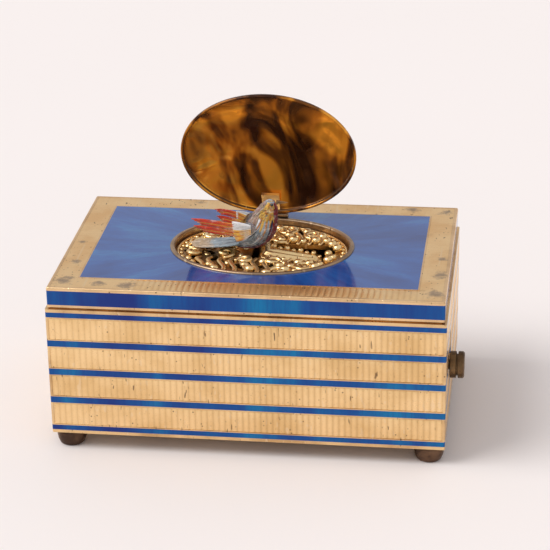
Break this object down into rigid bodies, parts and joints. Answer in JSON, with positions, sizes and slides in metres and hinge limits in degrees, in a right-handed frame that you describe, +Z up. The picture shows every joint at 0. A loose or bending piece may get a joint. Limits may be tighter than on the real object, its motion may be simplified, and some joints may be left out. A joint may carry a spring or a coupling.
{
  "type": "singing bird music box",
  "caption": "Enamelled brass music box with fluted bands: an oval lid lifts and a small feathered bird stands up through a pierced grille, turns, flaps and sings to a spring-driven whistle.",
  "frame": {"origin": "on the ground, under the middle of the whole object, knob included", "axes": "+Z up, +Y to the back where the lid is hinged, +X to the side with the start knob"},
  "size_m": [0.105, 0.0638, 0.0828],
  "materials": {
    "gilt_brass": "worn gilt, engine-turned fluting",
    "blue_enamel": "translucent gloss enamel over engraved metal",
    "lid_gilt": "bright polished gilt",
    "aged_brass": "dark patina",
    "movement_brass": "brushed",
    "steel": "fine brushed",
    "blued_steel": "blued",
    "body_feathers": "layered feathers",
    "wing_feathers": "long stiff feathers",
    "tail_feathers": "long stiff feathers",
    "horn": "carved horn",
    "leather": "thin kid leather"
  },
  "bodies": {
    "case": {"case_shell": "gilt_brass", "case_enamel_stripes": "blue_enamel", "base_plate": "gilt_brass", "foot_front_left": "aged_brass", "foot_front_right": "aged_brass", "foot_rear_left": "aged_brass", "foot_rear_right": "aged_brass", "foot_screws": "steel", "case_pillars": "movement_brass", "top_cover": "gilt_brass", "cover_enamel_band": "blue_enamel", "top_enamel_panel": "blue_enamel", "oval_bezel": "gilt_brass", "grille": "gilt_brass", "carriage_bearings": "movement_brass", "lid_hinge_knuckles": "gilt_brass", "slide_guides": "movement_brass", "slide_spring": "steel", "bridge_plate": "movement_brass", "movement_pillars": "movement_brass", "plate_screws": "blued_steel", "bellows_base": "movement_brass", "bellows_leather": "leather", "air_duct": "movement_brass", "whistle_tube": "movement_brass", "whistle_bracket": "movement_brass"},
    "lid": {"lid_shell": "lid_gilt", "lid_enamel": "blue_enamel", "lid_bracket": "lid_gilt", "lid_hinge_pin": "steel"},
    "carriage": {"bird_carriage": "gilt_brass", "carriage_axle": "steel"},
    "bird": {"bird_post": "steel", "bird_body": "body_feathers", "bird_upper_beak": "horn"},
    "lower_beak": {"bird_lower_beak": "horn"},
    "tail": {"bird_tail": "tail_feathers"},
    "yoke": {"wing_yoke": "steel"},
    "wings": {"bird_wing_left": "wing_feathers", "bird_wing_right": "wing_feathers"},
    "starter": {"start_slide": "movement_brass", "start_knob": "aged_brass"},
    "going_barrel": {"mainspring_barrel": "movement_brass", "barrel_cover": "movement_brass", "mainspring": "blued_steel"},
    "winder": {"barrel_arbor": "steel", "ratchet_wheel": "steel", "winding_key": "aged_brass"},
    "click": {"click": "steel"},
    "cams": {"cam_arbor": "steel", "cam_wheel": "movement_brass", "song_cams": "movement_brass"},
    "crank": {"crank_arbor": "steel", "crank_wheel": "movement_brass"},
    "fly": {"fly_arbor": "steel", "governor_fly": "movement_brass"},
    "bellows_arm": {"bellows_board": "movement_brass"},
    "rod": {"connecting_rod": "steel"},
    "lever": {"piston_lever": "steel"},
    "piston": {"whistle_piston": "steel"}
  },
  "joints": [
    {"name": "lid_hinge", "type": "hinge", "parent": "case", "child": "lid", "pos_m": [-0.00147, 0.01905, 0.0462], "axis": [1, 0, 0], "range_deg": [0, 78]},
    {"name": "bird_fold", "type": "hinge", "parent": "case", "child": "carriage", "pos_m": [-0.00147, 0, 0.0412], "axis": [0, 1, 0], "range_deg": [0, 88]},
    {"name": "bird_turn", "type": "hinge", "parent": "carriage", "child": "bird", "pos_m": [0.00003, 0, 0.0412], "axis": [0, 0, 1], "range_deg": [-30, 0]},
    {"name": "lower_beak_open", "type": "hinge", "parent": "bird", "child": "lower_beak", "pos_m": [0.00263, 0, 0.0574], "axis": [0, 1, 0], "range_deg": [0, 18], "stiffness_Nm_per_rad": 0.0000033, "springref_deg": -22.92},
    {"name": "tail_swing", "type": "hinge", "parent": "bird", "child": "tail", "pos_m": [-0.00737, 0, 0.0466], "axis": [0, 1, 0], "range_deg": [-88, 0]},
    {"name": "yoke_fold", "type": "hinge", "parent": "bird", "child": "yoke", "pos_m": [-0.00447, 0, 0.0512], "axis": [0, 1, 0], "range_deg": [-97, 0]},
    {"name": "wing_flap", "type": "hinge", "parent": "yoke", "child": "wings", "pos_m": [-0.00447, 0, 0.0512], "axis": [0, 1, 0], "range_deg": [-24, 0]},
    {"name": "start_slide", "type": "slide", "parent": "case", "child": "starter", "axis": [0, 1, 0], "range_m": [0, 0.007], "stiffness_N_per_m": 60, "springref_m": -0.004, "deforming": ["slide_spring"]},
    {"name": "barrel_turn", "type": "hinge", "parent": "case", "child": "going_barrel", "pos_m": [-0.03198, -0.012, 0.012], "axis": [0, 0, 1], "continuous": true},
    {"name": "cam_turn", "type": "hinge", "parent": "case", "child": "cams", "pos_m": [-0.01632, -0.01533, 0.012], "axis": [0, 0, 1], "continuous": true},
    {"name": "crank_turn", "type": "hinge", "parent": "case", "child": "crank", "pos_m": [-0.00372, -0.0131, 0.012], "axis": [0, 0, 1], "continuous": true},
    {"name": "fly_turn", "type": "hinge", "parent": "case", "child": "fly", "pos_m": [0.00681, -0.00927, 0.012], "axis": [0, 0, 1], "continuous": true},
    {"name": "key_turn", "type": "hinge", "parent": "case", "child": "winder", "pos_m": [-0.03198, -0.012, 0.004], "axis": [0, 0, 1], "continuous": true},
    {"name": "click_lift", "type": "hinge", "parent": "case", "child": "click", "pos_m": [-0.04068, -0.00794, 0.0254], "axis": [0, 0, 1], "range_deg": [-14, 14]},
    {"name": "bellows_pump", "type": "hinge", "parent": "case", "child": "bellows_arm", "pos_m": [0.03028, 0.0199, 0.014], "axis": [0, 0, 1], "range_deg": [-1.2, 1.2], "deforming": ["bellows_leather"]},
    {"name": "rod_swing", "type": "hinge", "parent": "bellows_arm", "child": "rod", "pos_m": [-0.00372, 0.0172, 0.0143], "axis": [0, 0, 1], "range_deg": [-1.2, 1.2]},
    {"name": "lever_rock", "type": "hinge", "parent": "case", "child": "lever", "pos_m": [-0.01257, 0.006, 0.013], "axis": [0, 0, 1], "range_deg": [0, 10]},
    {"name": "piston_slide", "type": "slide", "parent": "case", "child": "piston", "axis": [1, 0, 0], "range_m": [-0.00279, 0]}
  ],
  "couplings": [
    {"joint": "bird_fold", "follows": "lid_hinge", "ratio": 1.1281},
    {"joint": "tail_swing", "follows": "lid_hinge", "ratio": -1.1281},
    {"joint": "yoke_fold", "follows": "lid_hinge", "ratio": -1.2308},
    {"joint": "cam_turn", "follows": "barrel_turn", "ratio": -3},
    {"joint": "crank_turn", "follows": "barrel_turn", "ratio": 9},
    {"joint": "fly_turn", "follows": "barrel_turn", "ratio": -22.5},
    {"joint": "lever_rock", "follows": "piston_slide", "rad_per_m": -62.5}
  ]
}
